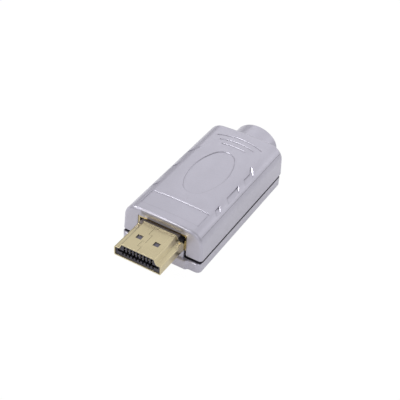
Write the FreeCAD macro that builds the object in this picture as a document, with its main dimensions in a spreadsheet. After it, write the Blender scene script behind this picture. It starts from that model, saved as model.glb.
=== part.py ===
# A digital video cable plug: a gold plated plug with nineteen contacts in a silver two-part hood,
# with an oval collar at the back where the cable goes in.
#
# Millimetres. +X goes across the plug, +Y from its nose to the cable, +Z up. The origin is under
# the middle of the whole plug, on the surface that the base rests on.
import FreeCAD, Part
import math
import os
from types import SimpleNamespace

import Sketcher
from FreeCAD import Placement, Rotation, Vector

SIZES = {
    # hood, outside
    "case_length": 45.7,
    "case_width": 24.1,
    "case_height": 12.95,
    "side_draft": 0.25,
    "shoulder_radius": 4.1,
    "crown_radius": 100.0,
    "front_edge_radius": 0.9,
    "rear_edge_radius": 1.3,
    "wall": 1.5,
    # how the height that the plug leaves free is shared out above and below it
    "share_below": 5.5,
    "share_above": 2.35,
    # the parting line, with a lip below that stands in a rebate above
    "rim_bevel": 0.2,
    "parting_gap": 0.6,
    "lip_height": 1.7,
    "lip_headroom": 0.6,
    "lip_thickness": 0.6,
    "lip_play": 0.05,
    # lower half
    "lower_inset": 0.05,
    "lower_lead": 0.6,
    "lower_short": 0.4,
    "lower_corner_radius": 1.3,
    "base_bevel": 0.4,
    "floor_thickness": 1.3,
    "panel_inset": 4.3,
    "panel_proud": 0.6,
    "panel_step_radius": 0.7,
    "tongue_half": 6.95,
    "tongue_corner": 0.3,
    # front opening of the upper half
    "opening_half": 7.4,
    "opening_flare": 0.7,
    "shield_play": 0.1,
    # cable collar
    "collar_length": 6.7,
    "collar_foot": 0.4,
    "collar_headroom": 1.35,
    "collar_spread": 1.1,
    "collar_flatness": 0.7,
    "collar_bevel": 0.4,
    "collar_gap": 0.1,
    "collar_wall": 1.6,
    # relief on the top
    "relief_depth": 0.2,
    "relief_bevel": 0.15,
    "oval_start": 13.1,
    "oval_half_length": 10.4,
    "oval_half_width": 5.25,
    "oval_tip_radius": 3.5,
    "band_start": 3.0,
    "band_length": 5.6,
    "band_inset": 3.35,
    "arc_radius": 20.0,
    "arc_width": 0.3,
    "arc_last": 41.55,
    "arc_spacing": 2.13,
    "arc_half_long": 7.05,
    "arc_half_step": 1.7,
    # finger grips on the shoulders
    "grip_depth_front": 0.2,
    "grip_depth_rear": 0.45,
    "grip_inset": 1.6,
    "grip_width": 1.35,
    "grip_slant": 1.3,
    "grip_one_start": 10.8,
    "grip_one_length": 2.0,
    "grip_two_start": 17.0,
    "grip_two_length": 5.8,
    "grip_three_start": 26.3,
    "grip_three_length": 3.3,
    "grip_tail_length": 2.3,
    "grip_tail_reach": 1.0,
    "grip_back_step": 0.1,
    "grip_back_slope": 2.0,
    # snap hooks between the halves
    "hook_first": 9.0,
    "hook_pitch": 27.5,
    "hook_width": 3.0,
    "hook_thickness": 0.7,
    "hook_headroom": 4.15,
    "hook_barb": 0.5,
    "hook_play": 0.1,
    # ribs
    "rib_thickness": 1.0,
    "rib_half": 8.0,
    "lower_rib_first": 4.0,
    "lower_rib_pitch": 7.6,
    "roof_rib_first": 5.0,
    "roof_rib_pitch": 12.0,
    "roof_rib_half": 6.5,
    "saddle_half": 5.0,
    "saddle_length": 2.0,
    "saddle_drop": 1.4,
    # gold shell of the plug
    "plug_reach": 11.35,
    "plug_width": 13.9,
    "plug_height": 4.45,
    "plug_ledge": 2.95,
    "plug_ledge_half": 5.6,
    "plug_top_half": 4.95,
    "plug_round": 0.5,
    "plug_hollow": 0.45,
    "plug_base_round": 0.4,
    "sheet": 0.3,
    "rim_setback": 0.9,
    "rim_flare": 0.12,
    "rim_flare_length": 0.4,
    "tray_length": 9.0,
    "tray_height": 2.5,
    "window_across": 1.6,
    "window_along": 1.5,
    "window_place": 2.55,
    "window_back": 6.52,
    "seam_width": 0.06,
    "seam_place": 0.15,
    "seam_tab_first": 2.0,
    "seam_tab_second": 7.0,
    "seam_tab_length": 1.9,
    "seam_second_length": 2.8,
    "seam_tab_reach": 1.05,
    "seam_tab_undercut": 0.2,
    # plastic insert that carries the contacts
    "insert_recess": 0.3,
    "insert_play": 0.05,
    "insert_rear_height": 3.4,
    "slot_floor": 1.35,
    "slot_height": 0.8,
    "slot_half": 6.1,
    "slot_depth": 6.7,
    "comb_height": 1.55,
    "comb_gap": 0.55,
    "well_play": 0.06,
    "well_height": 0.6,
    "well_bridge": 0.7,
    "lower_row": 0.75,
    "upper_row": 2.55,
    "upper_well_height": 0.3,
    # contacts
    "contact_pitch": 1.0,
    "contact_width": 0.4,
    "contact_thickness": 0.2,
    "contact_bow": 0.65,
    "contact_peak": 3.0,
    "contact_lead_in": 0.3,
    "contact_tail": 2.2,
    "contact_dip": 0.05,
    "comb_block_length": 1.9,
    "comb_block_half": 5.2,
    # shields
    "shield_half": 7.3,
    "shield_headroom": 0.35,
    "shield_setback": 0.1,
    "shield_length": 21.0,
    "shield_round": 0.4,
    "hem_inward": 0.2,
    "hem_length": 0.4,
    "rear_wall_sill": 2.9,
    "shield_wall_height": 2.7,
    "seat_gap": 0.05,
    "tail_half": 1.5,
    "tail_drop_start": 1.0,
    "tail_drop_length": 4.0,
    # claw and crimp ring on the cable
    "claw_start": 34.0,
    "claw_length": 5.0,
    "claw_play": 0.4,
    "claw_opening": 2.4,
    "crimp_inset": 1.5,
    "crimp_length": 3.0,
    "crimp_thickness": 0.3,
    "crimp_play": 0.05,
}

LOWER_CONTACTS = 10
UPPER_CONTACTS = 9
BEYOND = 1.0


class Size:
    """A length together with the sheet formula that gives it."""

    def __init__(self, value, formula):
        self.value = value
        self.formula = formula

    def __add__(self, other):
        other = as_size(other)
        return Size(self.value + other.value, f"({self.formula} + {other.formula})")

    def __sub__(self, other):
        other = as_size(other)
        return Size(self.value - other.value, f"({self.formula} - {other.formula})")

    def __mul__(self, other):
        other = as_size(other)
        return Size(self.value * other.value, f"({self.formula} * {other.formula})")

    def __truediv__(self, other):
        other = as_size(other)
        return Size(self.value / other.value, f"({self.formula} / {other.formula})")

    def __neg__(self):
        return Size(-self.value, f"(0 - {self.formula})")

    def __radd__(self, other):
        return as_size(other) + self

    def __rsub__(self, other):
        return as_size(other) - self

    def __rmul__(self, other):
        return as_size(other) * self


def as_size(number):
    """A plain number as a Size, and a Size as it is."""
    if isinstance(number, Size):
        return number
    return Size(float(number), repr(float(number)))


def root(size):
    """Square root of a Size."""
    return Size(math.sqrt(size.value), f"sqrt({size.formula})")


def fill_sheet(document):
    """Put the driving sizes in the sheet and return them by name."""
    sheet = document.addObject("Spreadsheet::Sheet", "Dims")
    for row, (name, value) in enumerate(SIZES.items(), start=1):
        sheet.set(f"A{row}", name)
        sheet.set(f"B{row}", str(value))
        sheet.setAlias(f"B{row}", name)
    document.recompute()
    return SimpleNamespace(**{name: Size(value, f"Dims.{name}") for name, value in SIZES.items()})


doc = FreeCAD.newDocument("VideoPlug")
d = fill_sheet(doc)

# Places along the plug: the hood's front face is the station that the rest is measured from.
face = (d.plug_reach - d.case_length - d.collar_length) / 2
nose = face - d.plug_reach
rear = face + d.case_length
collar_end = rear + d.collar_length
cavity_half = d.case_width / 2 - d.wall
skirt = d.wall - d.lip_thickness - d.lip_play
insert_front = nose + d.insert_recess
slot_end = insert_front + d.slot_depth
shell_rim = face - d.rim_setback
tray_end = face + d.tray_length
insert_half = d.plug_width / 2 - d.sheet - d.insert_play
lower_half = d.case_width / 2 - d.lower_inset

# Heights: the plug and its shields come first, and the hood's halves meet below them.
spare_height = d.case_height - d.plug_height - d.sheet - d.shield_headroom
shield_bottom = spare_height * d.share_below / (d.share_below + d.share_above)
plug_floor = shield_bottom + d.sheet
plug_top = plug_floor + d.plug_height
shield_top = plug_top + d.shield_headroom
lip_top = shield_bottom - d.lip_headroom
lower_height = lip_top - d.lip_height
upper_floor = lower_height + d.parting_gap
hook_height = d.case_height - d.hook_headroom
band_half = d.case_width / 2 - d.band_inset
grip_outer = d.case_width / 2 - d.grip_inset
grip_inner = grip_outer - d.grip_width
lower_row = plug_floor + d.lower_row
upper_row = plug_floor + d.upper_row
slot_floor = plug_floor + d.slot_floor
slot_roof = slot_floor + d.slot_height

# Each shoulder is an arc, and the drafted side below it runs from the rim to touch that arc.
shoulder_across = d.case_width / 2 - d.side_draft - d.shoulder_radius
between_centres = d.crown_radius - d.shoulder_radius
crown_centre = d.case_height - d.crown_radius
shoulder_rise = root(between_centres * between_centres - shoulder_across * shoulder_across)
shoulder_height = crown_centre + shoulder_rise
side_height = shoulder_height - upper_floor
drafted_radius = d.shoulder_radius + d.side_draft
tangent_square = drafted_radius * drafted_radius - d.shoulder_radius * d.shoulder_radius
tangent_length = root(side_height * side_height + tangent_square)
side_lean = tangent_square / (drafted_radius * side_height + d.shoulder_radius * tangent_length)
side_slope = root(1 + side_lean * side_lean)

# The cable collar is an oval, and the claw, the crimp ring and the cable's hole share its axis.
collar_half_height = (d.case_height - d.collar_foot - d.collar_headroom) / 2
collar_half_width = collar_half_height + d.collar_spread
collar_tip_radius = collar_half_height - d.collar_flatness
collar_height = d.collar_foot + collar_half_height
cable_radius = collar_half_height - d.collar_wall
claw_radius = cable_radius - d.claw_play


def bind(thing, prop, size):
    """Tie a property to the sheet."""
    size = as_size(size)
    thing.setExpression(prop, size.formula)


def new_body(name):
    return doc.addObject("PartDesign::Body", name)


def new_sketch(body, name, role, offset=0.0):
    """A sketch on one of the body's own origin planes, moved along that plane's normal."""
    sketch = body.newObject("Sketcher::SketchObject", name)
    plane = next(item for item in body.Origin.OriginFeatures if item.Role == role)
    sketch.AttachmentSupport = [(plane, "")]
    sketch.MapMode = "FlatFace"
    bind(sketch, "AttachmentOffset.Base.z", offset)
    return sketch


def across_at(body, name, place):
    """A sketch across the plug at a place along it. Its own axes are X and Z."""
    return new_sketch(body, name, "XZ_Plane", -as_size(place))


def plan_at(body, name, height):
    """A sketch seen from above at a height. Its own axes are X and Y."""
    return new_sketch(body, name, "XY_Plane", height)


def arc_between(start, finish, radius, hollow):
    """The short arc from start to finish, and which of its ends comes first."""
    middle = (start + finish) / 2
    chord = finish - start
    rise = math.sqrt(radius * radius - chord.Length * chord.Length / 4)
    left = Vector(-chord.y, chord.x, 0).normalize()
    centre = middle - left * rise if hollow else middle + left * rise
    first, last = (finish, start) if hollow else (start, finish)
    begin = math.atan2(first.y - centre.y, first.x - centre.x)
    end = math.atan2(last.y - centre.y, last.x - centre.x)
    if end < begin:
        end += 2 * math.pi
    arc = Part.ArcOfCircle(Part.Circle(centre, Vector(0, 0, 1), radius), begin, end)
    return arc, (2, 1) if hollow else (1, 2)


def hold(sketch, kind, where, size):
    """Add one distance or radius to a sketch and tie it to the sheet."""
    index = sketch.addConstraint(Sketcher.Constraint(kind, *where, size.value))
    sketch.setExpression(f"Constraints[{index}]", size.formula)


def outline(sketch, corners):
    """A closed outline, drawn anticlockwise.

    A corner is (across, up), or (across, up, radius) where an arc runs to the next corner, or
    (across, up, radius, "hollow") where that arc bends the other way.
    """
    corners = [[item if item == "hollow" else as_size(item) for item in corner] for corner in corners]
    first = sketch.GeometryCount
    ends = []
    for index, corner in enumerate(corners):
        following = corners[(index + 1) % len(corners)]
        start = Vector(corner[0].value, corner[1].value, 0)
        finish = Vector(following[0].value, following[1].value, 0)
        side, order = Part.LineSegment(start, finish), (1, 2)
        if len(corner) > 2:
            side, order = arc_between(start, finish, corner[2].value, len(corner) > 3)
        sketch.addGeometry(side, False)
        ends.append(order)
    for index, corner in enumerate(corners):
        following = (index + 1) % len(corners)
        joint = (first + index, ends[index][1], first + following, ends[following][0])
        sketch.addConstraint(Sketcher.Constraint("Coincident", *joint))
        hold(sketch, "DistanceX", (-1, 1, first + index, ends[index][0]), corner[0])
        hold(sketch, "DistanceY", (-1, 1, first + index, ends[index][0]), corner[1])
        if len(corner) > 2:
            hold(sketch, "Radius", (first + index,), corner[2])


def box_outline(sketch, left, right, low, high):
    outline(sketch, [(left, low), (right, low), (right, high), (left, high)])


def circle_outline(sketch, height, radius):
    """A circle centred on the plug's middle plane at a height."""
    height = as_size(height)
    radius = as_size(radius)
    centre = Vector(0, height.value, 0)
    index = sketch.addGeometry(Part.Circle(centre, Vector(0, 0, 1), radius.value), False)
    sketch.addConstraint(Sketcher.Constraint("PointOnObject", index, 3, -2))
    hold(sketch, "DistanceY", (-1, 1, index, 3), height)
    hold(sketch, "Radius", (index,), radius)


def raised(body, sketch, length, backwards=False, symmetric=False):
    """Pad a sketch along its normal, against it, or half each way."""
    feature = body.newObject("PartDesign::Pad", sketch.Name + "Pad")
    feature.Profile = sketch
    feature.Reversed = backwards
    if symmetric:
        feature.SideType = "Symmetric"
    bind(feature, "Length", length)
    return feature


def cut(body, sketch, length, backwards=False, symmetric=False):
    """Pocket a sketch against its normal, along it, or half each way."""
    feature = body.newObject("PartDesign::Pocket", sketch.Name + "Pocket")
    feature.Profile = sketch
    feature.Reversed = backwards
    if symmetric:
        feature.SideType = "Symmetric"
    bind(feature, "Length", length)
    return feature


def dressed(body, kind, name, wanted):
    """A fillet or chamfer on each edge of the body so far for which wanted(edge) holds."""
    doc.recompute()
    base = body.Tip
    names = [f"Edge{number}" for number, edge in enumerate(base.Shape.Edges, start=1) if wanted(edge)]
    feature = body.newObject("PartDesign::" + kind, name)
    feature.Base = (base, names)
    return feature


def rounded(body, name, radius, wanted):
    bind(dressed(body, "Fillet", name, wanted), "Radius", radius)


def bevelled(body, name, size, wanted):
    bind(dressed(body, "Chamfer", name, wanted), "Size", size)


def lies_at(edge, axis, place):
    """True where the whole edge lies at one place along an axis."""
    box = edge.BoundBox
    low = (box.XMin, box.YMin, box.ZMin)[axis]
    high = (box.XMax, box.YMax, box.ZMax)[axis]
    return abs(low - place.value) < 0.001 and abs(high - place.value) < 0.001


def hood_section(inset, bottom, lean, slope):
    """Outline across the hood: leaning sides, round shoulders and a slightly crowned top."""
    shoulder = d.shoulder_radius - inset
    crown = d.crown_radius - inset
    touch_across = shoulder_across + shoulder / slope
    touch_up = shoulder_height + lean * shoulder / slope
    foot = touch_across + lean * (touch_up - bottom)
    meet_across = shoulder_across * crown / between_centres
    meet_up = crown_centre + shoulder_rise * crown / between_centres
    return [
        (-foot, bottom),
        (foot, bottom),
        (touch_across, touch_up, shoulder),
        (meet_across, meet_up, crown),
        (-meet_across, meet_up, shoulder),
        (-touch_across, touch_up),
    ]


def hood_skin(inset, bottom):
    """The hood's outer outline, or one parallel to it."""
    return hood_section(inset, bottom, side_lean, side_slope)


def hood_inside(bottom):
    """The hood's cavity, whose sides stand upright."""
    return hood_section(d.wall - d.side_draft, bottom, as_size(0), as_size(1))


def plug_section(inset, floor_inset, base_round):
    """Outline across the plug: wide below, a ledge on each side, and a narrow top."""
    half = d.plug_width / 2 - inset
    floor = plug_floor + floor_inset
    ledge = plug_floor + d.plug_ledge - inset
    top = plug_top - inset
    lean = (d.plug_ledge_half - d.plug_top_half) / (d.plug_height - d.plug_ledge)
    slope = root(1 + lean * lean)
    reach = root((slope - lean) / (slope + lean))
    convex = d.plug_round - inset
    hollow = d.plug_hollow + inset
    top_corner = d.plug_top_half + lean * inset - inset * slope
    ledge_corner = top_corner + lean * (top - ledge)
    right = [
        (half - base_round, floor, base_round),
        (half, floor + base_round),
        (half, ledge - convex, convex),
        (half - convex, ledge),
        (ledge_corner + hollow * reach, ledge, hollow, "hollow"),
        (ledge_corner - lean * hollow * reach / slope, ledge + hollow * reach / slope),
        (top_corner + lean * convex * reach / slope, top - convex * reach / slope, convex),
        (top_corner - convex * reach, top),
    ]
    left = [
        (convex * reach - top_corner, top, convex),
        (-top_corner - lean * convex * reach / slope, top - convex * reach / slope),
        (lean * hollow * reach / slope - ledge_corner, ledge + hollow * reach / slope,
         hollow, "hollow"),
        (-ledge_corner - hollow * reach, ledge),
        (convex - half, ledge, convex),
        (-half, ledge - convex),
        (-half, floor + base_round, base_round),
        (base_round - half, floor),
    ]
    return right + left


def oval_meeting(long_half, short_half, tip_radius):
    """Radius of an oval's flatter arcs, and where they meet its tip arcs."""
    reach = long_half - tip_radius
    squares = reach * reach + short_half * short_half - tip_radius * tip_radius
    flat = squares / (2 * (short_half - tip_radius))
    meet_long = flat * reach / (flat - tip_radius)
    meet_short = (flat - short_half) * tip_radius / (flat - tip_radius)
    return flat, meet_long, meet_short


def collar_half(sign):
    """Outline of the upper (+1) or lower (-1) half of the cable collar."""
    tip = collar_tip_radius
    gap = d.collar_gap / 2
    flat, across, up = oval_meeting(collar_half_width, collar_half_height, tip)
    edge = collar_half_width - tip + root(tip * tip - gap * gap)
    return [
        (-sign * edge, collar_height + sign * gap),
        (sign * edge, collar_height + sign * gap, tip),
        (sign * across, collar_height + sign * up, flat),
        (-sign * across, collar_height + sign * up, tip),
    ]


def upper_hood():
    """Upper half of the hood before its relief: a crowned shell, open below and at the nose."""
    body = new_body("UpperHood")
    section = across_at(body, "HoodSection", face)
    outline(section, hood_skin(as_size(0), upper_floor))
    raised(body, section, d.case_length, backwards=True)

    def above_the_rim(edge, place):
        return lies_at(edge, 1, place) and not lies_at(edge, 2, upper_floor)

    rounded(body, "FrontEdge", d.front_edge_radius, lambda edge: above_the_rim(edge, face))
    rounded(body, "RearEdge", d.rear_edge_radius, lambda edge: above_the_rim(edge, rear))
    bevelled(body, "UpperRim", d.rim_bevel, lambda edge: lies_at(edge, 2, upper_floor))

    cavity = across_at(body, "HoodCavity", face + d.wall)
    outline(cavity, hood_inside(upper_floor - BEYOND))
    cut(body, cavity, d.case_length - 2 * d.wall)

    rebate = plan_at(body, "LipRebate", upper_floor)
    rebate_half = d.case_width / 2 - skirt
    box_outline(rebate, -rebate_half, rebate_half, face + skirt, rear - skirt)
    cut(body, rebate, lip_top - upper_floor, backwards=True)

    opening = across_at(body, "NoseOpening", face)
    high = shield_top + d.shield_play
    flare = d.opening_flare
    wide = d.opening_half + flare
    outline(opening, [
        (-wide, upper_floor - BEYOND),
        (wide, upper_floor - BEYOND),
        (wide, upper_floor, flare, "hollow"),
        (d.opening_half, upper_floor + flare),
        (d.opening_half, high),
        (-d.opening_half, high),
        (-d.opening_half, upper_floor + flare, flare, "hollow"),
        (-wide, upper_floor),
    ])
    cut(body, opening, d.wall)

    collar = across_at(body, "UpperCollar", rear - d.wall)
    outline(collar, collar_half(1))
    raised(body, collar, d.wall + d.collar_length, backwards=True)
    bevelled(body, "UpperCollarRim", d.collar_bevel, is_collar_rim)

    notch = across_at(body, "CollarNotch", rear - d.wall)
    notch_half = collar_half_width + d.collar_gap
    box_outline(notch, -notch_half, notch_half, upper_floor - BEYOND, collar_height + d.collar_gap / 2)
    cut(body, notch, d.wall)

    bore = across_at(body, "UpperBore", rear - d.wall - BEYOND)
    circle_outline(bore, collar_height, cable_radius)
    cut(body, bore, d.wall + d.collar_length + 2 * BEYOND)

    for number in range(2):
        catch = new_sketch(body, f"Catch{number + 1}", "YZ_Plane")
        middle = face + d.hook_first + number * d.hook_pitch
        half = d.hook_width / 2 + d.hook_play
        low = hook_height - 3 * d.hook_barb - d.hook_play
        box_outline(catch, middle - half, middle + half, low, hook_height + d.hook_play)
        cut(body, catch, 2 * (cavity_half + d.hook_barb), symmetric=True)

    rib_foot = shield_top + d.seat_gap
    for number in range(2):
        rib = plan_at(body, f"RoofRib{number + 1}", rib_foot)
        start = face + d.roof_rib_first + number * d.roof_rib_pitch
        box_outline(rib, -d.roof_rib_half, d.roof_rib_half, start, start + d.rib_thickness)
        raised(body, rib, d.case_height - d.wall / 2 - rib_foot)
    return body


def is_collar_rim(edge):
    return lies_at(edge, 1, collar_end) and not isinstance(edge.Curve, Part.Line)


def free_sketch(name, placement):
    """A sketch outside any body, for the relief tools."""
    sketch = doc.addObject("Sketcher::SketchObject", name)
    sketch.Placement = placement
    return sketch


def extrusion(name, sketch, direction, length):
    tool = doc.addObject("Part::Extrusion", name)
    tool.Base = sketch
    tool.DirMode = "Custom"
    tool.Dir = direction
    tool.Solid = True
    bind(tool, "LengthFwd", length)
    return tool


def prisms_above(name, draw):
    """Prisms over the shoulders and the top, drawn from above by draw()."""
    plan = free_sketch(name + "Plan", Placement())
    bind(plan, "Placement.Base.z", d.case_height - d.shoulder_radius)
    draw(plan)
    return extrusion(name + "Prisms", plan, Vector(0, 0, 1), d.shoulder_radius + BEYOND)


def upright_sketch(name, place):
    """A free sketch across the hood at a place along it."""
    sketch = free_sketch(name, Placement(Vector(0, 0, 0), Rotation(Vector(1, 0, 0), 90)))
    bind(sketch, "Placement.Base.y", place)
    return sketch


def relief_tool():
    """The relief's outlines from above, a constant depth below the hood's outer surface."""
    section = upright_sketch("ReliefSection", face - BEYOND)
    outline(section, hood_skin(d.relief_depth, lower_height))
    core = extrusion("ReliefCore", section, Vector(0, 1, 0), d.case_length + 2 * BEYOND)
    return combined("Part::Cut", "Relief", prisms_above("Relief", draw_relief), core)


def combined(kind, name, base, tool):
    feature = doc.addObject(kind, name)
    feature.Base = base
    feature.Tool = tool
    return feature


def draw_relief(plan):
    """The long oval, the band behind the front edge and the three bowed lines at the back."""
    tip = d.oval_tip_radius
    flat, along, across = oval_meeting(d.oval_half_length, d.oval_half_width, tip)
    centre = face + d.oval_start + d.oval_half_length
    outline(plan, [
        (across, centre - along, flat),
        (across, centre + along, tip),
        (-across, centre + along, flat),
        (-across, centre - along, tip),
    ])
    band = face + d.band_start
    box_outline(plan, -band_half, band_half, band, band + d.band_length)
    for number in range(3):
        half = d.arc_half_long - number * d.arc_half_step
        centre = face + d.arc_last - number * d.arc_spacing - d.arc_radius
        outer = d.arc_radius + d.arc_width / 2
        inner = d.arc_radius - d.arc_width / 2
        outer_end = centre + root(outer * outer - half * half)
        inner_end = centre + root(inner * inner - half * half)
        outline(plan, [
            (half, inner_end),
            (half, outer_end, outer),
            (-half, outer_end),
            (-half, inner_end, inner, "hollow"),
        ])


def grip_spans():
    """Where each grip starts and ends along its inner edge."""
    starts = (d.grip_one_start, d.grip_two_start, d.grip_three_start)
    lengths = (d.grip_one_length, d.grip_two_length, d.grip_three_length)
    return [(face + start, face + start + length) for start, length in zip(starts, lengths)]


def draw_grips(plan):
    """Three slanted finger grips on one shoulder, the last with a tail that curls inwards."""
    spans = grip_spans()
    for start, end in spans[:2]:
        outline(plan, [
            (grip_inner, start),
            (grip_outer, start - d.grip_slant),
            (grip_outer, end - d.grip_slant),
            (grip_inner, end),
        ])
    start, end = spans[2]
    outline(plan, [
        (grip_inner, start),
        (grip_outer, start - d.grip_slant),
        (grip_outer, end),
        (grip_inner - d.grip_tail_reach, end + d.grip_tail_length),
        (grip_inner, end),
    ])


def skin_height(across):
    """Height of the hood's shoulder at a place across it."""
    aside = across - shoulder_across
    return shoulder_height + root(d.shoulder_radius * d.shoulder_radius - aside * aside)


def grip_floor(depth, across):
    """Height of a grip's floor: depth below the skin at its inner edge, and on it at its outer one."""
    deep = skin_height(grip_inner) - depth
    fall = (deep - skin_height(grip_outer)) / (grip_outer - grip_inner)
    return deep - fall * (across - grip_inner)


def ramp_section(name, place, depth):
    """Everything above a grip's flat floor."""
    near = grip_inner - d.grip_tail_reach - BEYOND
    far = grip_outer + BEYOND
    high = d.case_height + BEYOND
    section = upright_sketch(name, place)
    outline(section, [
        (near, grip_floor(depth, near)),
        (far, grip_floor(depth, far)),
        (far, high),
        (near, high),
    ])
    return section


def back_section(name, across, place):
    """Section along the hood of the slope behind a grip, which starts a step above its floor."""
    section = free_sketch(name, Placement(Vector(0, 0, 0), Rotation(Vector(1, 1, 1), 120)))
    bind(section, "Placement.Base.x", across)
    low = grip_floor(d.grip_depth_rear, across) + d.grip_back_step
    high = low + BEYOND
    outline(section, [
        (place - d.grip_back_step, low),
        (place, low),
        (place + BEYOND * d.grip_back_slope, high),
        (place - d.grip_back_step, high),
    ])
    return section


def straight_loft(name, sections):
    loft = doc.addObject("Part::Loft", name)
    loft.Sections = sections
    loft.Solid = True
    loft.Ruled = True
    return loft


def grip_tool():
    """The three grips of one shoulder: each is shallow in front and ends in a tall slope behind."""
    ramps = []
    backs = []
    none = as_size(0)
    ends = ((none, none, d.grip_slant), (none, none, d.grip_slant), (d.grip_tail_length, d.grip_tail_reach, none))
    for number, ((start, end), (tail, reach, slant)) in enumerate(zip(grip_spans(), ends), start=1):
        ramps.append(straight_loft(f"Ramp{number}", [
            ramp_section(f"RampStart{number}", start - d.grip_slant, d.grip_depth_front),
            ramp_section(f"RampEnd{number}", end + tail, d.grip_depth_rear),
        ]))
        backs.append(straight_loft(f"Back{number}", [
            back_section(f"BackInner{number}", grip_inner - reach, end + tail),
            back_section(f"BackOuter{number}", grip_outer, end - slant),
        ]))
    floors = doc.addObject("Part::Compound", "Ramps")
    floors.Links = ramps
    pockets = combined("Part::Common", "GripPockets", prisms_above("Grips", draw_grips), floors)
    grips = doc.addObject("Part::MultiFuse", "Grips")
    grips.Shapes = [pockets, *backs]
    return grips


def is_relief_rim(edge):
    """True where an edge lies on the hood's skin between the band and the last bowed line."""
    box = edge.BoundBox
    first = (face + d.band_start).value
    last = (face + d.arc_last + d.arc_width).value
    middle = edge.valueAt((edge.FirstParameter + edge.LastParameter) / 2)
    across = abs(middle.x)
    if box.YMin < first - 0.001 or box.YMax > last or across > band_half.value + 0.001:
        return False
    meet = (shoulder_across * d.crown_radius / between_centres).value
    crown = crown_centre.value + math.sqrt(d.crown_radius.value ** 2 - across ** 2)
    height = skin_height(as_size(across)).value if across > meet else crown
    return abs(middle.z - height) < 0.001


def upper_casing():
    """Upper half of the hood with its relief and a row of grips on each shoulder."""
    right = grip_tool()
    left = doc.addObject("Part::Mirroring", "LeftGrips")
    left.Source = right
    left.Normal = Vector(1, 0, 0)
    with_relief = combined("Part::Cut", "HoodWithRelief", upper_hood(), relief_tool())
    softened = new_body("SoftRelief")
    softened.BaseFeature = with_relief
    bevelled(softened, "ReliefRim", d.relief_bevel, is_relief_rim)
    with_grips = combined("Part::Cut", "HoodWithGrips", softened, right)
    return combined("Part::Cut", "UpperCasing", with_grips, left)


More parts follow.
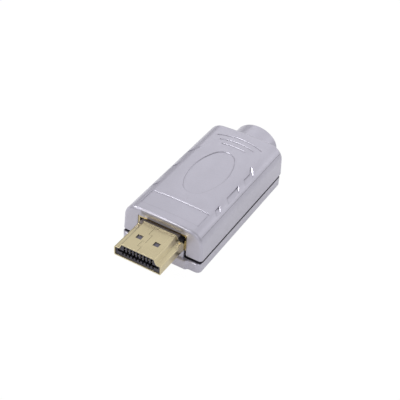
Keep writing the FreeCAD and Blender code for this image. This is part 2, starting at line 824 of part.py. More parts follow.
def lower_casing():
    """Lower half of the hood: a tray with a front panel, a tongue, a lip, ribs and snap hooks."""
    body = new_body("LowerCasing")
    half = lower_half
    round_corner = d.lower_corner_radius
    front = face - d.lower_lead
    panel = front - d.panel_proud
    back = rear - d.lower_short
    step = d.panel_step_radius
    turn = 1 - d.panel_proud / (2 * step)
    half_step = step * root(1 - turn * turn)
    middle = front - d.panel_proud / 2
    first = lower_half - d.panel_inset
    second = first + half_step
    third = second + half_step
    plan = plan_at(body, "TrayPlan", 0)
    outline(plan, [
        (-first, panel),
        (first, panel, step),
        (second, middle, step, "hollow"),
        (third, front),
        (half - round_corner, front, round_corner),
        (half, front + round_corner),
        (half, back - round_corner, round_corner),
        (half - round_corner, back),
        (round_corner - half, back, round_corner),
        (-half, back - round_corner),
        (-half, front + round_corner, round_corner),
        (round_corner - half, front),
        (-third, front, step, "hollow"),
        (-second, middle, step),
    ])
    raised(body, plan, lower_height)
    bevelled(body, "LowerRim", d.rim_bevel, lambda edge: lies_at(edge, 2, lower_height))
    bevelled(body, "BaseEdge", d.base_bevel, lambda edge: lies_at(edge, 2, as_size(0)))

    lip = plan_at(body, "Lip", 0)
    lip_half = d.case_width / 2 - skirt - d.lip_play
    lip_inset = skirt + d.lip_play
    box_outline(lip, -lip_half, lip_half, face + lip_inset, rear - lip_inset)
    bind(lip, "AttachmentOffset.Base.z", d.base_bevel)
    raised(body, lip, lip_top - d.base_bevel)

    tongue = plan_at(body, "Tongue", d.base_bevel)
    corner = d.tongue_corner
    back_of_wall = face + d.wall
    outline(tongue, [
        (corner - d.tongue_half, front),
        (d.tongue_half - corner, front, corner),
        (d.tongue_half, front + corner),
        (d.tongue_half, back_of_wall),
        (-d.tongue_half, back_of_wall),
        (-d.tongue_half, front + corner, corner),
    ])
    raised(body, tongue, plug_floor - d.base_bevel)

    cavity = plan_at(body, "TrayCavity", lip_top)
    box_outline(cavity, -cavity_half, cavity_half, face + d.wall, rear - d.wall)
    cut(body, cavity, lip_top - d.floor_thickness)

    collar = across_at(body, "LowerCollar", rear - d.wall)
    outline(collar, collar_half(-1))
    raised(body, collar, d.wall + d.collar_length, backwards=True)
    bevelled(body, "LowerCollarRim", d.collar_bevel, is_collar_rim)

    saddle = plan_at(body, "Saddle", d.floor_thickness / 2)
    saddle_middle = face + d.claw_start + d.crimp_inset + d.crimp_length / 2
    saddle_start = saddle_middle - d.saddle_length / 2
    box_outline(saddle, -d.saddle_half, d.saddle_half, saddle_start, saddle_start + d.saddle_length)
    raised(body, saddle, collar_height - d.saddle_drop - d.floor_thickness / 2)
    cradle = across_at(body, "Cradle", saddle_start)
    crimp_outer = claw_radius + d.crimp_play + d.crimp_thickness
    circle_outline(cradle, collar_height, crimp_outer + d.seat_gap)
    cut(body, cradle, d.saddle_length)

    bore = across_at(body, "LowerBore", rear - d.wall - BEYOND)
    circle_outline(bore, collar_height, cable_radius)
    cut(body, bore, d.wall + d.collar_length + 2 * BEYOND)

    for number in range(3):
        rib = plan_at(body, f"Rib{number + 1}", d.floor_thickness / 2)
        start = face + d.lower_rib_first + number * d.lower_rib_pitch
        box_outline(rib, -d.rib_half, d.rib_half, start, start + d.rib_thickness)
        raised(body, rib, shield_bottom - d.floor_thickness / 2)

    hook_face = cavity_half - d.hook_play
    hook_back = hook_face - d.hook_thickness
    barb = hook_height - d.hook_barb
    for number in range(2):
        middle = face + d.hook_first + number * d.hook_pitch
        hook = across_at(body, f"Hook{number + 1}", middle - d.hook_width / 2)
        right = [
            (hook_back, d.floor_thickness / 2),
            (cavity_half + d.lip_thickness / 2, d.floor_thickness / 2),
            (cavity_half + d.lip_thickness / 2, lip_top - d.lip_play),
            (hook_face, lip_top - d.lip_play),
            (hook_face, barb - 2 * d.hook_barb),
            (hook_face + d.hook_barb, barb - d.hook_barb),
            (hook_face, hook_height),
            (hook_back, hook_height),
        ]
        outline(hook, right)
        outline(hook, [(-corner[0], corner[1]) for corner in reversed(right)])
        raised(body, hook, d.hook_width, backwards=True)
    return body


def plug_shell():
    """The gold shell: one folded sheet, a flared rim on top and a tray that runs into the hood."""
    body = new_body("PlugShell")
    section = across_at(body, "ShellSection", nose)
    outline(section, plug_section(as_size(0), as_size(0), d.plug_base_round))
    raised(body, section, tray_end - nose, backwards=True)

    flare_start = across_at(body, "FlareStart", shell_rim - d.rim_flare_length)
    outline(flare_start, plug_section(as_size(0), as_size(0), d.plug_base_round))
    flare_end = across_at(body, "FlareEnd", shell_rim)
    outline(flare_end, plug_section(-d.rim_flare, as_size(0), d.plug_base_round))
    flare = body.newObject("PartDesign::AdditiveLoft", "Flare")
    flare.Profile = flare_start
    flare.Sections = [flare_end]
    flare.Ruled = True

    hollow = across_at(body, "ShellHollow", nose)
    outline(hollow, plug_section(d.sheet, d.sheet, d.plug_base_round - d.sheet))
    cut(body, hollow, tray_end - nose)

    top_off = across_at(body, "TrayTop", shell_rim)
    wide = d.plug_width / 2 + BEYOND
    box_outline(top_off, -wide, wide, plug_floor + d.tray_height, plug_top + BEYOND)
    cut(body, top_off, tray_end - shell_rim)

    windows = plan_at(body, "Windows", plug_top)
    window_middle = face - d.window_back
    for side in (-1, 1):
        middle = side * d.window_place
        box_outline(windows, middle - d.window_across / 2, middle + d.window_across / 2,
                    window_middle - d.window_along / 2, window_middle + d.window_along / 2)
    cut(body, windows, d.plug_height)

    seam_top = plug_top + d.rim_flare
    seam = plan_at(body, "Seam", seam_top)
    outline(seam, seam_corners())
    cut(body, seam, d.rim_flare + 2 * d.sheet)
    return body


def seam_corners():
    """The seam where the folded sheet's edges meet, with two dovetail tabs that lock them."""
    slit = d.seam_width
    line = -d.seam_place
    tip = line - d.seam_tab_reach
    under = d.seam_tab_undercut
    tabs = ((d.seam_tab_first, d.seam_tab_length), (d.seam_tab_second, d.seam_second_length))
    left = [(line, nose - d.sheet)]
    right = [(line + slit, nose - d.sheet)]
    for start, length in tabs:
        low = nose + start
        high = low + length
        left += [(line, low), (tip, low - under), (tip, high + under), (line, high)]
        right += [(line + slit, low + slit), (tip + slit, low - under + slit),
                  (tip + slit, high + under - slit), (line + slit, high - slit)]
    left.append((line, face))
    right.append((line + slit, face))
    return right + left[::-1]


def contact_places(count):
    """Where a row of contacts stands across the plug."""
    return [d.contact_pitch * (index - (count - 1) / 2) for index in range(count)]


def plug_insert():
    """Plastic insert: the slot for the socket's tongue, with a well or channel for each contact."""
    body = new_body("PlugInsert")
    front = across_at(body, "InsertSection", insert_front)
    inset = d.sheet + d.insert_play
    outline(front, plug_section(inset, d.sheet, d.plug_base_round - d.sheet + d.insert_play))
    raised(body, front, shell_rim - insert_front, backwards=True)
    back = across_at(body, "InsertRear", shell_rim)
    rear_top = plug_floor + d.insert_rear_height
    rear_half = insert_half - d.plug_base_round + d.sheet
    box_outline(back, -rear_half, rear_half, plug_floor + d.sheet, rear_top)
    raised(body, back, tray_end - shell_rim, backwards=True)

    slot = across_at(body, "Slot", insert_front)
    box_outline(slot, -d.slot_half, d.slot_half, slot_floor, slot_roof)
    cut(body, slot, d.slot_depth)

    half = d.contact_width / 2 + d.well_play
    whole = tray_end - insert_front
    wells = across_at(body, "LowerWells", insert_front)
    for place in contact_places(LOWER_CONTACTS):
        box_outline(wells, place - half, place + half, lower_row, lower_row + d.well_height)
    cut(body, wells, whole)
    slits = plan_at(body, "LowerSlits", slot_floor)
    for place in contact_places(LOWER_CONTACTS):
        box_outline(slits, place - half, place + half, insert_front + d.well_bridge, slot_end)
    cut(body, slits, slot_floor - lower_row)

    channels = across_at(body, "UpperChannels", insert_front)
    for place in contact_places(UPPER_CONTACTS):
        box_outline(channels, place - d.comb_gap / 2, place + d.comb_gap / 2,
                    slot_roof - d.slot_height / 2, slot_roof + d.comb_height)
    cut(body, channels, d.slot_depth)
    upper_wells = across_at(body, "UpperWells", slot_end - BEYOND)
    for place in contact_places(UPPER_CONTACTS):
        box_outline(upper_wells, place - half, place + half, upper_row, upper_row + d.upper_well_height)
    cut(body, upper_wells, tray_end - slot_end + BEYOND)
    return body


def contact(name, place, row, bow):
    """One sprung contact: a flat strip that bows into the slot, with its tail behind the insert."""
    body = new_body(name)
    side = new_sketch(body, name + "Side", "YZ_Plane", place)
    thick = d.contact_thickness
    tail = tray_end + d.contact_tail
    bend = slot_end - d.contact_lead_in
    peak = insert_front + d.contact_peak
    tip = insert_front + d.contact_lead_in
    dip = d.contact_dip if bow.value > 0 else -d.contact_dip
    outline(side, [
        (tail, row + thick),
        (bend, row + thick),
        (peak, row + thick + bow),
        (tip, row + thick + dip),
        (tip, row + dip),
        (peak, row + bow),
        (bend, row),
        (tail, row),
    ])
    raised(body, side, d.contact_width, symmetric=True)
    return body


def wire_comb():
    """Plastic block that keeps the two rows of tails apart behind the insert."""
    body = new_body("WireComb")
    start = tray_end + d.insert_play
    section = across_at(body, "CombSection", start)
    half = d.comb_block_half
    box_outline(section, -half, half, lower_row + d.contact_thickness, upper_row)
    raised(body, section, d.comb_block_length, backwards=True)
    return body


def upper_shield():
    """Upper shield can: its hemmed front edge is the gold frame round the plug."""
    body = new_body("UpperShield")
    start = face + d.shield_setback
    section = across_at(body, "CanSection", start)
    corner = d.shield_round
    outline(section, [
        (-d.shield_half, shield_bottom),
        (d.shield_half, shield_bottom),
        (d.shield_half, shield_top - corner, corner),
        (d.shield_half - corner, shield_top),
        (corner - d.shield_half, shield_top, corner),
        (-d.shield_half, shield_top - corner),
    ])
    raised(body, section, d.shield_length, backwards=True)
    inner_half = d.shield_half - d.sheet
    inner_top = shield_top - d.sheet
    hollow = across_at(body, "CanHollow", start)
    box_outline(hollow, -inner_half, inner_half, shield_bottom - BEYOND, inner_top)
    cut(body, hollow, d.shield_length - d.sheet)
    sill = across_at(body, "CanSill", start + d.shield_length - d.sheet - BEYOND)
    box_outline(sill, -inner_half, inner_half, shield_bottom - BEYOND, shield_bottom + d.rear_wall_sill)
    cut(body, sill, d.sheet + 2 * BEYOND)
    hem = across_at(body, "Hem", start)
    hem_foot = plug_floor + d.tray_height + d.shield_play
    hem_half = inner_half - d.hem_inward
    outline(hem, [
        (inner_half + d.sheet / 2, hem_foot),
        (inner_half + d.sheet / 2, inner_top + d.sheet / 2),
        (-inner_half - d.sheet / 2, inner_top + d.sheet / 2),
        (-inner_half - d.sheet / 2, hem_foot),
        (-hem_half, hem_foot),
        (-hem_half, inner_top - d.hem_inward),
        (hem_half, inner_top - d.hem_inward),
        (hem_half, hem_foot),
    ])
    raised(body, hem, d.hem_length, backwards=True)
    return body


def lower_shield():
    """Lower shield can: a plate under the plug, side walls behind it, and a tail with a claw."""
    body = new_body("LowerShield")
    start = face + d.wall + d.shield_play
    end = face + d.shield_setback + d.shield_length - d.sheet - d.shield_play
    half = d.shield_half - d.sheet - d.insert_play
    plate = plan_at(body, "PlatePlan", shield_bottom)
    box_outline(plate, -half, half, start, end)
    raised(body, plate, d.sheet)
    walls = plan_at(body, "WallsPlan", shield_bottom)
    wall_start = tray_end + d.shield_play
    box_outline(walls, half - d.sheet, half, wall_start, end)
    box_outline(walls, -half, d.sheet - half, wall_start, end)
    raised(body, walls, d.shield_wall_height)

    tail = new_sketch(body, "TailSide", "YZ_Plane")
    drop = end + d.tail_drop_start
    landing = drop + d.tail_drop_length
    claw_start = face + d.claw_start
    low = collar_height - claw_radius
    outline(tail, [
        (end - d.sheet, shield_bottom),
        (drop, shield_bottom),
        (landing, low),
        (claw_start + d.crimp_inset / 2, low),
        (claw_start + d.crimp_inset / 2, low + d.sheet),
        (landing, low + d.sheet),
        (drop, shield_bottom + d.sheet),
        (end - d.sheet, shield_bottom + d.sheet),
    ])
    raised(body, tail, 2 * d.tail_half, symmetric=True)
    claw = across_at(body, "Claw", claw_start)
    circle_outline(claw, collar_height, claw_radius)
    raised(body, claw, d.claw_length, backwards=True)
    inside = across_at(body, "ClawInside", claw_start)
    circle_outline(inside, collar_height, claw_radius - d.sheet)
    cut(body, inside, d.claw_length)
    mouth = across_at(body, "ClawMouth", claw_start)
    box_outline(mouth, -d.claw_opening / 2, d.claw_opening / 2,
                collar_height, collar_height + claw_radius + BEYOND)
    cut(body, mouth, d.claw_length)
    return body


def cable_crimp():
    """Crimp ring that closes the claw on the cable."""
    body = new_body("CableCrimp")
    ring = across_at(body, "RingSection", face + d.claw_start + d.crimp_inset)
    inner = claw_radius + d.crimp_play
    circle_outline(ring, collar_height, inner + d.crimp_thickness)
    circle_outline(ring, collar_height, inner)
    raised(body, ring, d.crimp_length, backwards=True)
    return body


nodes = {
    "upper_casing": upper_casing(),
    "lower_casing": lower_casing(),
    "plug_shell": plug_shell(),
    "plug_insert": plug_insert(),
    "wire_comb": wire_comb(),
    "upper_shield": upper_shield(),
    "lower_shield": lower_shield(),
    "cable_crimp": cable_crimp(),
}
# Odd numbers are the row on the wide side of the plug, even numbers the row on its narrow side.
for index, place in enumerate(contact_places(LOWER_CONTACTS)):
    number = 2 * index + 1
    nodes[f"contact_{number:02d}"] = contact(f"Contact{number:02d}", place, lower_row, d.contact_bow)
for index, place in enumerate(contact_places(UPPER_CONTACTS)):
    number = 2 * index + 2
    nodes[f"contact_{number:02d}"] = contact(f"Contact{number:02d}", place, upper_row, -d.contact_bow)
for label, node in nodes.items():
    node.Label = label
doc.recompute()

for item in doc.Objects:
    if "Invalid" in item.State or "Error" in item.State:
        raise RuntimeError(f"{item.Name} failed: {item.State}")
for label, node in nodes.items():
    shape = node.Shape
    if shape.isNull() or not shape.isValid() or len(shape.Solids) != 1:
        raise RuntimeError(f"{label} is not one sound solid")

os.makedirs("parts", exist_ok=True)
for label, node in nodes.items():
    node.Shape.exportStep(os.path.join("parts", label + ".step"))
    box = node.Shape.optimalBoundingBox()
    print(f"{label:14s} {node.Shape.Volume:9.2f} mm3  x {box.XMin:7.2f} {box.XMax:7.2f}  "
          f"y {box.YMin:7.2f} {box.YMax:7.2f}  z {box.ZMin:6.2f} {box.ZMax:6.2f}")
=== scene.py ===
# %% [markdown]
# # A silver hooded video plug, dressed for its picture
# The solids of this plug come from CAD: a hood in two halves, a gold folded shell, a plastic insert,
# nineteen contacts and the shields behind them. Every form is already in those solids, so this
# lesson adds no piece of its own: it gives them their finishes, down to the grain of the paint and
# the unpainted gap between the halves, then lights them the way a shop photograph does.

# %% Load the frame
import math

import bpy
import numpy as np
from mathutils import Matrix, Vector


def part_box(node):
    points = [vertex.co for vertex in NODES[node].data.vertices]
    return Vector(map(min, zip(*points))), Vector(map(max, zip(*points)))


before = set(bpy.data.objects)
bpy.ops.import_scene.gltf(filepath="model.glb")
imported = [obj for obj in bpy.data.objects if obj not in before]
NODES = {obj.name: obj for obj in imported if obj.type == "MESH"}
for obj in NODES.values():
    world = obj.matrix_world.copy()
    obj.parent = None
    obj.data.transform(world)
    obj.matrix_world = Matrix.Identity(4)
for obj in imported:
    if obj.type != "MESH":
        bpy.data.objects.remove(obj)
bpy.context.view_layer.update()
MM = 0.001

# %% [markdown]
# ## Where things are
# Every place below is worked out from the boxes of the CAD nodes, so nothing has to be fitted by
# eye. The hood's front face is the station to measure from, and its rear face stands a collar's
# length before the end of the box.

# %% Measure the nodes
COLLAR_LENGTH = 6.7 * MM
hood_low, hood_high = (Vector(corner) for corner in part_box("upper_casing"))
insert_low, insert_high = (Vector(corner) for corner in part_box("plug_insert"))
HOOD_FRONT = hood_low.y
HOOD_REAR = hood_high.y - COLLAR_LENGTH
HOOD_HALF = hood_high.x
RIM_HEIGHT = hood_low.z
print("hood in mm: front, rear, half width",
      [round(v / MM, 2) for v in (HOOD_FRONT, HOOD_REAR, HOOD_HALF)])

# %% [markdown]
# ## The camera
# The photograph is taken from the front right, well above the plug, with a long lens. The camera
# stands on the line that azimuth and elevation give, looks back along it, and is rolled slightly.
# The three columns of its turn are its right, its up and its back, which are worked out with two
# cross products.

# %% Camera
AZIMUTH = math.radians(28.021)
ELEVATION = math.radians(39.489)
ROLL = math.radians(4.349)
DISTANCE = 249.723 * MM
LENS = 82.929
SENSOR = 36.0
LOOK_AT = Vector((0.0, -2.525 * MM, 6.0 * MM))
OFFSET = (-0.694 * MM, -0.599 * MM)


def turn_of_camera(azimuth, elevation, roll):
    """Right, up and back of a camera: back points from the object to it, right is level, and both
    right and up are then rolled about back."""
    back = Vector((math.sin(azimuth) * math.cos(elevation),
                   -math.cos(azimuth) * math.cos(elevation),
                   math.sin(elevation)))
    right = Vector((0, 0, 1)).cross(back).normalized()
    up = back.cross(right)
    rolled_right = right * math.cos(roll) + up * math.sin(roll)
    rolled_up = up * math.cos(roll) - right * math.sin(roll)
    return rolled_right, rolled_up, back


def add_camera():
    right, up, back = turn_of_camera(AZIMUTH, ELEVATION, ROLL)
    data = bpy.data.cameras.new("photo_camera")
    data.lens = LENS
    data.sensor_width = SENSOR
    data.clip_start = 0.01
    data.clip_end = 10.0
    camera = bpy.data.objects.new("photo_camera", data)
    place = LOOK_AT + back * DISTANCE - right * OFFSET[0] - up * OFFSET[1]
    turn = Matrix((right, up, back)).transposed().to_4x4()
    camera.matrix_world = Matrix.Translation(place) @ turn
    bpy.context.scene.collection.objects.link(camera)
    bpy.context.scene.camera = camera
    return camera


camera = add_camera()
print("camera at", [round(v, 4) for v in camera.matrix_world.translation])

# %% [markdown]
# ## A node tree without the typing
# Each finish is a small tree of shader nodes round one Principled shader. A few helpers keep the
# cells short: one starts a material, one adds a node and sets its plain values, and the others put
# the nodes together that every finish here needs. Values that are the same all over a surface are
# set on the shader itself.

# %% Material helpers
NOISE_MIDDLE = (0.3, 0.7)


def new_material(name, **values):
    """A material with one Principled shader, whose named sockets get plain values."""
    material = bpy.data.materials.new(name)
    material.use_nodes = True
    shader = material.node_tree.nodes["Principled BSDF"]
    for socket, value in values.items():
        shader.inputs[socket.replace("_", " ")].default_value = value
    return material, material.node_tree, shader


def add(tree, kind, **values):
    """A node of that kind: names with an attribute of the node set it, other names set a socket."""
    node = tree.nodes.new("ShaderNode" + kind)
    for name, value in values.items():
        if hasattr(node, name):
            setattr(node, name, value)
        else:
            node.inputs[name.replace("_", " ")].default_value = value
    return node


def ramp(tree, value, start, end, low, high):
    """A number that runs from low to high while value runs from start to end, and stops there."""
    spread = add(tree, "MapRange", From_Min=start, From_Max=end, To_Min=low, To_Max=high)
    tree.links.new(value, spread.inputs["Value"])
    return spread.outputs["Result"]


def between(tree, noise, low, high):
    """A number from low to high: a noise seldom leaves its middle, so only that is spread out."""
    return ramp(tree, noise, *NOISE_MIDDLE, low, high)


def speckle(tree, scale, detail=2.0, stretch=(1.0, 1.0, 1.0)):
    """Noise on Object coordinates, scale being how many grains fit in a metre."""
    where = add(tree, "TexCoord")
    mapping = add(tree, "Mapping", Scale=stretch)
    noise = add(tree, "TexNoise", Scale=scale, Detail=detail)
    tree.links.new(where.outputs["Object"], mapping.inputs["Vector"])
    tree.links.new(mapping.outputs["Vector"], noise.inputs["Vector"])
    return noise.outputs["Fac"]


def two_colours(tree, factor, first, second):
    """Blend of two colours by a number from 0 to 1."""
    mix = add(tree, "MixRGB", Color1=(*first, 1.0), Color2=(*second, 1.0))
    tree.links.new(factor, mix.inputs["Fac"])
    return mix.outputs["Color"]


def mixed(tree, factor, first, second):
    """Blend of two colour sockets by a factor socket."""
    mix = add(tree, "MixRGB")
    tree.links.new(factor, mix.inputs["Fac"])
    tree.links.new(first, mix.inputs["Color1"])
    tree.links.new(second, mix.inputs["Color2"])
    return mix.outputs["Color"]


def brightness(tree, value, colour):
    """A colour socket times a number."""
    change = add(tree, "HueSaturation")
    tree.links.new(value, change.inputs["Value"])
    tree.links.new(colour, change.inputs["Color"])
    return change.outputs["Color"]


def rounded_grain(tree, height, edge, distance, strength):
    """The normal of a surface with its edges rounded by a radius, edge, and with bumps of a height
    on it that are as deep as distance. Both are in metres."""
    bevel = add(tree, "Bevel", samples=6, Radius=edge)
    bump = add(tree, "Bump", Distance=distance, Strength=strength)
    tree.links.new(height, bump.inputs["Height"])
    tree.links.new(bevel.outputs["Normal"], bump.inputs["Normal"])
    return bump.outputs["Normal"]


def within(tree, low, high, fade=0.01 * MM):
    """1 inside a box and 0 outside it: the largest of |place - middle| - half is below 0 inside,
    and over the fade, a length in metres, the 1 runs down to 0."""
    middle = (Vector(low) + Vector(high)) / 2
    half = (Vector(high) - Vector(low)) / 2
    where = add(tree, "TexCoord")
    shifted = add(tree, "VectorMath", operation="SUBTRACT")
    shifted.inputs[1].default_value = middle
    folded = add(tree, "VectorMath", operation="ABSOLUTE")
    beyond = add(tree, "VectorMath", operation="SUBTRACT")
    beyond.inputs[1].default_value = half
    parts = add(tree, "SeparateXYZ")
    flat = add(tree, "Math", operation="MAXIMUM")
    most = add(tree, "Math", operation="MAXIMUM")
    tree.links.new(where.outputs["Object"], shifted.inputs[0])
    tree.links.new(shifted.outputs[0], folded.inputs[0])
    tree.links.new(folded.outputs[0], beyond.inputs[0])
    tree.links.new(beyond.outputs[0], parts.inputs[0])
    tree.links.new(parts.outputs["X"], flat.inputs[0])
    tree.links.new(parts.outputs["Y"], flat.inputs[1])
    tree.links.new(flat.outputs[0], most.inputs[0])
    tree.links.new(parts.outputs["Z"], most.inputs[1])
    return ramp(tree, most.outputs[0], 0.0, fade, 1.0, 0.0)


# %% [markdown]
# ## Silver paint on the hood
# The hood is moulded plastic under satin silver paint. Such paint is a clear film with tiny metal
# flakes in it: from near it shows a fine grain, from afar a broad soft sheen with a lilac tint. So
# the shader is part metal, part plastic, with a grain of about a tenth of a millimetre in both its
# colour and its bump, and the paint rounds every edge off by about the same. The spray doesn't reach
# into the gap between the two halves, so the black plastic under the paint shows there, and its
# colour is also painted a little onto the outer walls as the gap's shade: together they draw a dark
# line round the hood. In the upper half the corners of the relief get painted shade, which draws the
# lines of the oval, the band and the grips, and a strip over the mouth gets painted shade and a
# painted warm reflection of the gold.

# %% Silver paint
SILVER = (0.515, 0.50, 0.587), (0.60, 0.58, 0.672)
BARE_PLASTIC_AND_GAP_SHADE = (0.040, 0.035, 0.047), (0.055, 0.049, 0.064)
MOUTH_SHADE_AND_GOLD_REFLECTION = (0.29, 0.265, 0.265), (0.34, 0.315, 0.315)
FLAKES = 9000.0
PATCHES = 160.0
PAINT_EDGE = 0.08 * MM
FLAKE_DEPTH = 0.004 * MM
# Painted shade in the corners of the relief: an occlusion node darkens the colour down to
# CORNER_BRIGHTNESS.
CORNER_REACH = 0.45 * MM
CLOSED_SHARE, OPEN_SHARE = 0.6, 0.98
CORNER_BRIGHTNESS = 0.6
# A strip of the front face over the mouth gets painted shade and a painted warm reflection of the gold
# plug; these constants place it.
MOUTH_HALF = 6.0 * MM
MOUTH_SHADE_LOW = 11.7 * MM
MOUTH_SHADE_TOP = 12.0 * MM
MOUTH_SHADE_DEPTH = 0.3 * MM
MOUTH_FADE = 0.8 * MM
# GAP_SHADE carries the dark colour of the gap a little onto the outer walls: a painted shade.
GAP_HEIGHT = 0.6 * MM
GAP_SHADE = 0.14 * MM


def painted_corner_shade(tree, colour):
    """A colour with painted shade: darker where walls close round the surface and leave less of it
    open.
    """
    share = add(tree, "AmbientOcclusion", samples=8, only_local=True, Distance=CORNER_REACH)
    value = ramp(tree, share.outputs["AO"], CLOSED_SHARE, OPEN_SHARE, CORNER_BRIGHTNESS, 1.0)
    return brightness(tree, value, colour)


def silver_paint(name, bare_and_shade_low, bare_and_shade_high, corner_shade):
    """Satin silver, with bare black plastic between two corners of a box inside the hood, in a colour
    that also paints the shade in the gap and inside the hood, and a band of painted shade along the
    gap outside. Where the last argument is true, the corners of the relief get painted shade."""
    material, tree, shader = new_material(
        name, Metallic=0.5, Roughness=0.36, Coat_Weight=0.35, Coat_Roughness=0.16)
    grain = speckle(tree, FLAKES, 3.0)
    cloud = speckle(tree, PATCHES, 3.0)
    fleck = between(tree, grain, 0.0, 1.0)
    patched = brightness(tree, between(tree, cloud, 0.97, 1.03), two_colours(tree, fleck, *SILVER))
    bare_and_gap_shade = two_colours(tree, fleck, *BARE_PLASTIC_AND_GAP_SHADE)
    # Painted shade and painted gold reflection in the strip over the mouth.
    painted_mouth_shade = within(tree, (-MOUTH_HALF, HOOD_FRONT - MM, MOUTH_SHADE_LOW),
                        (MOUTH_HALF, HOOD_FRONT + MOUTH_SHADE_DEPTH, MOUTH_SHADE_TOP), MOUTH_FADE)
    shaded = mixed(tree, painted_mouth_shade, patched, two_colours(tree, fleck, *MOUTH_SHADE_AND_GOLD_REFLECTION))
    # Painted shade: a band of the bare colour along the gap, on the outer walls of both halves.
    painted_gap_shade = within(tree, (-HOOD_HALF - MM, HOOD_FRONT + MM, RIM_HEIGHT - GAP_HEIGHT - GAP_SHADE),
                      (HOOD_HALF + MM, HOOD_REAR, RIM_HEIGHT + GAP_SHADE))
    silver = mixed(tree, painted_gap_shade, shaded, bare_and_gap_shade)
    # Inside the box the plastic is bare, and the same dark colour paints the shade in the gap and
    # inside the hood.
    coat = mixed(tree, within(tree, bare_and_shade_low, bare_and_shade_high), silver, bare_and_gap_shade)
    # Painted shade in the corners of the relief of the upper half.
    seen = painted_corner_shade(tree, coat) if corner_shade else coat
    tree.links.new(seen, shader.inputs["Base Color"])
    tree.links.new(between(tree, grain, 0.30, 0.42), shader.inputs["Roughness"])
    normal = rounded_grain(tree, grain, PAINT_EDGE, FLAKE_DEPTH, 0.5)
    tree.links.new(normal, shader.inputs["Normal"])
    return material


# %% [markdown]
# ## Gold plate on the shell
# The shell is folded sheet with a bright, pale gold plating. Rolled sheet keeps faint lines along
# its length under the plating, so the roughness varies in long thin streaks.

# %% Gold plate
STREAKS = 2600.0
ALONG_THE_PLUG = (1.0, 0.03, 1.0)
GOLD_CLOUDS = 220.0
GOLD_EDGE = 0.05 * MM
STREAK_DEPTH = 0.001 * MM


def gold_plate(name, light, dark, rough):
    """Plating that drifts between two colours and is streaked along the plug."""
    material, tree, shader = new_material(name, Metallic=1.0, Roughness=rough)
    streaks = speckle(tree, STREAKS, 3.0, ALONG_THE_PLUG)
    cloud = speckle(tree, GOLD_CLOUDS)
    colour = two_colours(tree, between(tree, cloud, 0.0, 1.0), dark, light)
    tree.links.new(colour, shader.inputs["Base Color"])
    tree.links.new(between(tree, streaks, rough - 0.01, rough + 0.02), shader.inputs["Roughness"])
    normal = rounded_grain(tree, streaks, GOLD_EDGE, STREAK_DEPTH, 0.1)
    tree.links.new(normal, shader.inputs["Normal"])
    return material


# %% [markdown]
# ## Dark plastic of the insert
# The insert is glass-filled plastic, dark grey with a violet cast. It is matt with a fine,
# slightly cloudy surface from the mould. Its colour also carries painted light and shade: the wells
# and the slot are painted near black as shade, the front rim is painted lighter where light falls on
# it, the flat top is painted lighter in the windows, and the shelf behind the shell's rim, in the
# strip between the shell and the gold frame, gets a painted warm reflection of the gold, up to its
# right end, which is left dark as painted shade.

# %% Dark plastic
# Painted shade and light: near black for the insert in shade, lighter for its lit rim and top, warm for
# the gold reflected on the shelf.
SHADED_INSERT_PLASTIC = (0.012, 0.011, 0.015), (0.020, 0.018, 0.025)
LIT_RIM_PLASTIC = (0.056, 0.051, 0.069), (0.078, 0.072, 0.096)
LIT_ROOF_PLASTIC = (0.135, 0.127, 0.165), (0.175, 0.165, 0.212)
SHELF_GOLD_REFLECTION = (0.30, 0.255, 0.25), (0.36, 0.31, 0.30)
MOULD_CLOUDS = 2500.0
PLASTIC_EDGE = 0.04 * MM
MOULD_DEPTH = 0.005 * MM
LIT_SKIN_DEPTH = 0.1 * MM
SHELF_REACH = 1.2 * MM
SHELF_DEPTH = 0.75 * MM
# Past SHELF_RIGHT the shelf keeps the near-black painted shade.
SHELF_RIGHT = 4.9 * MM
SHELF_FADE = 0.3 * MM


def dark_plastic():
    """Dark plastic with painted light and shade: each box picks out a stretch of the insert and its
    shade.
    """
    material, tree, shader = new_material("dark_plastic", Roughness=0.5, Specular_IOR_Level=0.4)
    cloud = speckle(tree, MOULD_CLOUDS, 4.0)
    fleck = between(tree, cloud, 0.0, 1.0)
    in_shade, lit_rim, lit_roof, shelf_reflection = (
        two_colours(tree, fleck, *shades)
        for shades in (SHADED_INSERT_PLASTIC, LIT_RIM_PLASTIC, LIT_ROOF_PLASTIC, SHELF_GOLD_REFLECTION))
    around = Vector((MM, MM, MM))
    beyond = insert_high + around
    lit_front_rim = within(tree, insert_low - around,
                       (beyond.x, insert_low.y + LIT_SKIN_DEPTH, beyond.z))
    lit_top = within(tree, (insert_low.x, insert_low.y + MM, insert_high.z - LIT_SKIN_DEPTH), beyond)
    shelf_reflection_mask = within(tree, (insert_low.x, HOOD_FRONT - SHELF_REACH, insert_high.z - SHELF_DEPTH),
                        (SHELF_RIGHT, beyond.y, beyond.z), SHELF_FADE)
    body = mixed(tree, shelf_reflection_mask, mixed(tree, lit_top, in_shade, lit_roof), shelf_reflection)
    tree.links.new(mixed(tree, lit_front_rim, body, lit_rim), shader.inputs["Base Color"])
    tree.links.new(between(tree, cloud, 0.42, 0.58), shader.inputs["Roughness"])
    normal = rounded_grain(tree, cloud, PLASTIC_EDGE, MOULD_DEPTH, 0.4)
    tree.links.new(normal, shader.inputs["Normal"])
    return material


# %% [markdown]
# ## Steel of the crimp ring
# The ring that closes the claw is plain pressed steel, which keeps the lines of the tool round it.

# %% Crimp steel
TOOL_LINES = 1800.0
ROUND_THE_RING = (0.05, 1.0, 0.05)


def crimp_steel():
    material, tree, shader = new_material("crimp_steel", Metallic=1.0, Roughness=0.35)
    streaks = speckle(tree, TOOL_LINES, 3.0, ROUND_THE_RING)
    share = between(tree, streaks, 0.0, 1.0)
    colour = two_colours(tree, share, (0.48, 0.48, 0.47), (0.62, 0.62, 0.60))
    tree.links.new(colour, shader.inputs["Base Color"])
    tree.links.new(between(tree, streaks, 0.28, 0.42), shader.inputs["Roughness"])
    return material


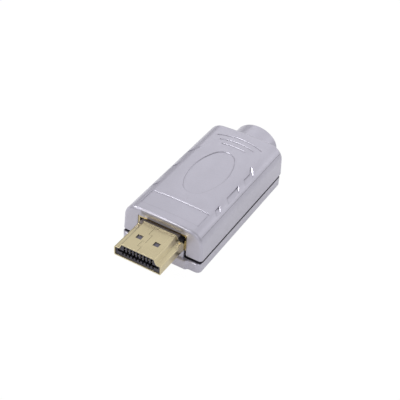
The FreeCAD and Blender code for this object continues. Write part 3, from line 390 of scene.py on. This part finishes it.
# %% [markdown]
# ## A finish for each node
# The tray is bare inside its thin painted rim and the upper half inside its wall, and that bare
# colour also paints the shade in the gap. The lower row of contacts lies deep in its wells, so its
# gold gets a painted shade, as dark as the photograph has it.

# %% Paint each node
INNER_WALL = 1.0 * MM
# RIM_WIDTH and GAP_FLOOR set how far the bare colour, which also paints the gap's shade, reaches over
# the tray's rim.
RIM_WIDTH = 0.04 * MM
GAP_FLOOR = 0.05 * MM
HOOD_SILVER = silver_paint(
    "hood_silver",
    (INNER_WALL - HOOD_HALF, HOOD_FRONT + INNER_WALL, 0.0),
    (HOOD_HALF - INNER_WALL, HOOD_REAR - INNER_WALL, hood_high.z - 2 * INNER_WALL), True)
TRAY_SILVER = silver_paint(
    "tray_silver",
    (RIM_WIDTH - HOOD_HALF, HOOD_FRONT, RIM_HEIGHT - GAP_HEIGHT - GAP_FLOOR),
    (HOOD_HALF - RIM_WIDTH, HOOD_REAR - RIM_WIDTH, hood_high.z), False)
GOLD = gold_plate("shell_gold", (0.69, 0.605, 0.395), (0.645, 0.56, 0.365), 0.28)
SHIELD_GOLD = gold_plate("shield_gold", (0.60, 0.50, 0.30), (0.52, 0.43, 0.25), 0.28)
CONTACT_GOLD = gold_plate("contact_gold", (0.50, 0.44, 0.33), (0.42, 0.37, 0.28), 0.25)
# Painted shade: gold coloured dark for contacts deep in their wells.
SHADED_GOLD = gold_plate("shaded_gold", (0.060, 0.053, 0.045), (0.045, 0.040, 0.034), 0.4)
INSERT = dark_plastic()
STEEL = crimp_steel()
FINISH = {
    "upper_casing": HOOD_SILVER,
    "lower_casing": TRAY_SILVER,
    "plug_shell": GOLD,
    "upper_shield": SHIELD_GOLD,
    "lower_shield": SHIELD_GOLD,
    "plug_insert": INSERT,
    "wire_comb": INSERT,
    "cable_crimp": STEEL,
}


def paint(name, material):
    """Give a CAD node its material."""
    node = NODES[name]
    if not node.material_slots:
        node.data.materials.append(material)
    for slot in node.material_slots:
        slot.material = material


for name in NODES:
    # The lower row gets shaded_gold, gold with a painted shade.
    lower_contact = name.startswith("contact_") and int(name[-2:]) % 2 == 1
    paint(name, FINISH.get(name, SHADED_GOLD if lower_contact else CONTACT_GOLD))
print("painted", len(NODES), "nodes")

# %% [markdown]
# ## Smooth shading
# The CAD meshes are loose triangles. Welding them in a modifier and then splitting them again only
# where they meet at a real corner lets the round stretches shade smoothly, and moves no vertex.

# %% Smooth the nodes
WELD_REACH = 0.0005 * MM
CORNER = math.radians(32.0)


def smooth_node(node):
    node.data.polygons.foreach_set("use_smooth", np.ones(len(node.data.polygons), bool))
    weld = node.modifiers.new("weld", "WELD")
    weld.merge_threshold = WELD_REACH
    split = node.modifiers.new("corners", "EDGE_SPLIT")
    split.split_angle = CORNER
    even = node.modifiers.new("even_shading", "WEIGHTED_NORMAL")
    even.weight = 50


for node in NODES.values():
    smooth_node(node)
print("smoothed all of them up to", round(math.degrees(CORNER)), "degrees")

# %% [markdown]
# ## Studio
# A shop photograph like this one is lit by large soft lights, and each lamp here is placed where a
# surface of the plug mirrors it to the camera. The small key at the front left draws the white line
# along the hood's front edge, the small panel at the left lights the slopes behind the grips, and
# the wide panels behind the plug light its top, its shoulders and the gold. The floor and the
# backdrop are one white sheet that curves up behind the plug. It is wider on the right, because the
# hood's right shoulder mirrors that side of it. The camera sees it as plain white, as on the page of
# a catalogue.

# %% Backdrop
SHEET_LEFT, SHEET_RIGHT = -1.6, 3.4
SHEET_FLAT, SHEET_BEND, SHEET_WALL = 1.6, 0.6, 1.2
SEEN_GLOW = 0.97
MIRRORED_GLOW = 0.58
GLOW = 1.02


def backdrop():
    """A sheet on a grid of two parameters: across is straight, along it runs flat, then turns up
    a quarter circle of radius SHEET_BEND, then goes straight up."""
    across, along = np.meshgrid(np.linspace(SHEET_LEFT, SHEET_RIGHT, 9), np.linspace(0.0, 1.0, 41))
    bend = SHEET_BEND * math.pi / 2
    length = along * (2 * SHEET_FLAT + bend + SHEET_WALL)
    turned = np.clip(length - 2 * SHEET_FLAT, 0.0, bend) / SHEET_BEND
    risen = np.clip(length - 2 * SHEET_FLAT - bend, 0.0, None)
    y = np.minimum(length, 2 * SHEET_FLAT) - SHEET_FLAT + SHEET_BEND * np.sin(turned)
    z = SHEET_BEND * (1 - np.cos(turned)) + risen
    points = np.stack([across, y, z], axis=-1).reshape(-1, 3)
    rows, columns = across.shape
    corner = (np.arange(rows - 1)[:, None] * columns + np.arange(columns - 1)).ravel()
    faces = np.stack([corner, corner + 1, corner + columns + 1, corner + columns], axis=1)
    mesh = bpy.data.meshes.new("backdrop")
    mesh.from_pydata(points.tolist(), [], faces.tolist())
    mesh.polygons.foreach_set("use_smooth", np.ones(len(faces), bool))
    sheet = bpy.data.objects.new("backdrop", mesh)
    bpy.context.scene.collection.objects.link(sheet)
    return sheet


def white_paper():
    """Matt white that is mostly plain white light where the camera or a reflection sees it, so
    that it prints as white. The rest of it is matt white, which throws light back at the plug."""
    material, tree, shader = new_material("white_paper", Base_Color=(0.9, 0.9, 0.9, 1.0), Roughness=0.9)
    glow = add(tree, "Emission", Strength=GLOW)
    path = add(tree, "LightPath")
    seen = add(tree, "Math", operation="MULTIPLY")
    seen.inputs[1].default_value = SEEN_GLOW
    mirrored = add(tree, "Math", operation="MULTIPLY")
    mirrored.inputs[1].default_value = MIRRORED_GLOW
    share = add(tree, "Math", operation="MAXIMUM")
    mix = add(tree, "MixShader")
    output = tree.nodes["Material Output"]
    tree.links.new(path.outputs["Is Camera Ray"], seen.inputs[0])
    tree.links.new(path.outputs["Is Glossy Ray"], mirrored.inputs[0])
    tree.links.new(seen.outputs[0], share.inputs[0])
    tree.links.new(mirrored.outputs[0], share.inputs[1])
    tree.links.new(share.outputs[0], mix.inputs["Fac"])
    tree.links.new(shader.outputs[0], mix.inputs[1])
    tree.links.new(glow.outputs[0], mix.inputs[2])
    tree.links.new(mix.outputs[0], output.inputs["Surface"])
    return material


sheet = backdrop()
sheet.data.materials.append(white_paper())
print("backdrop of", len(sheet.data.polygons), "faces")

# %% Lights
WORLD_STRENGTH = 0.38


def area_light(name, place, size, power):
    """A square soft light at a place, turned to face the plug."""
    data = bpy.data.lights.new(name, "AREA")
    data.shape = "SQUARE"
    data.size = size
    data.energy = power
    light = bpy.data.objects.new(name, data)
    light.location = place
    aim = LOOK_AT - Vector(place)
    light.rotation_mode = "QUATERNION"
    light.rotation_quaternion = aim.to_track_quat("-Z", "Y")
    bpy.context.scene.collection.objects.link(light)
    return light


area_light("front_left_key", (-0.38, -0.62, 0.74), 0.28, 2.05)
area_light("rear_panel", (-0.17, 0.92, 0.90), 1.2, 2.2)
area_light("rear_right_panel", (0.62, 0.75, 0.50), 0.6, 0.8)
area_light("left_panel", (-0.66, -0.01, 0.75), 0.2, 2.2)
area_light("right_fill", (0.66, -0.68, 0.62), 0.7, 1.6)

world = bpy.data.worlds.new("studio")
bpy.context.scene.world = world
world.use_nodes = True
surround = world.node_tree.nodes["Background"]
surround.inputs["Color"].default_value = (1.0, 1.0, 1.0, 1.0)
surround.inputs["Strength"].default_value = WORLD_STRENGTH
bpy.context.scene.view_settings.view_transform = "Standard"
print("lit by", len(bpy.data.lights), "lamps")
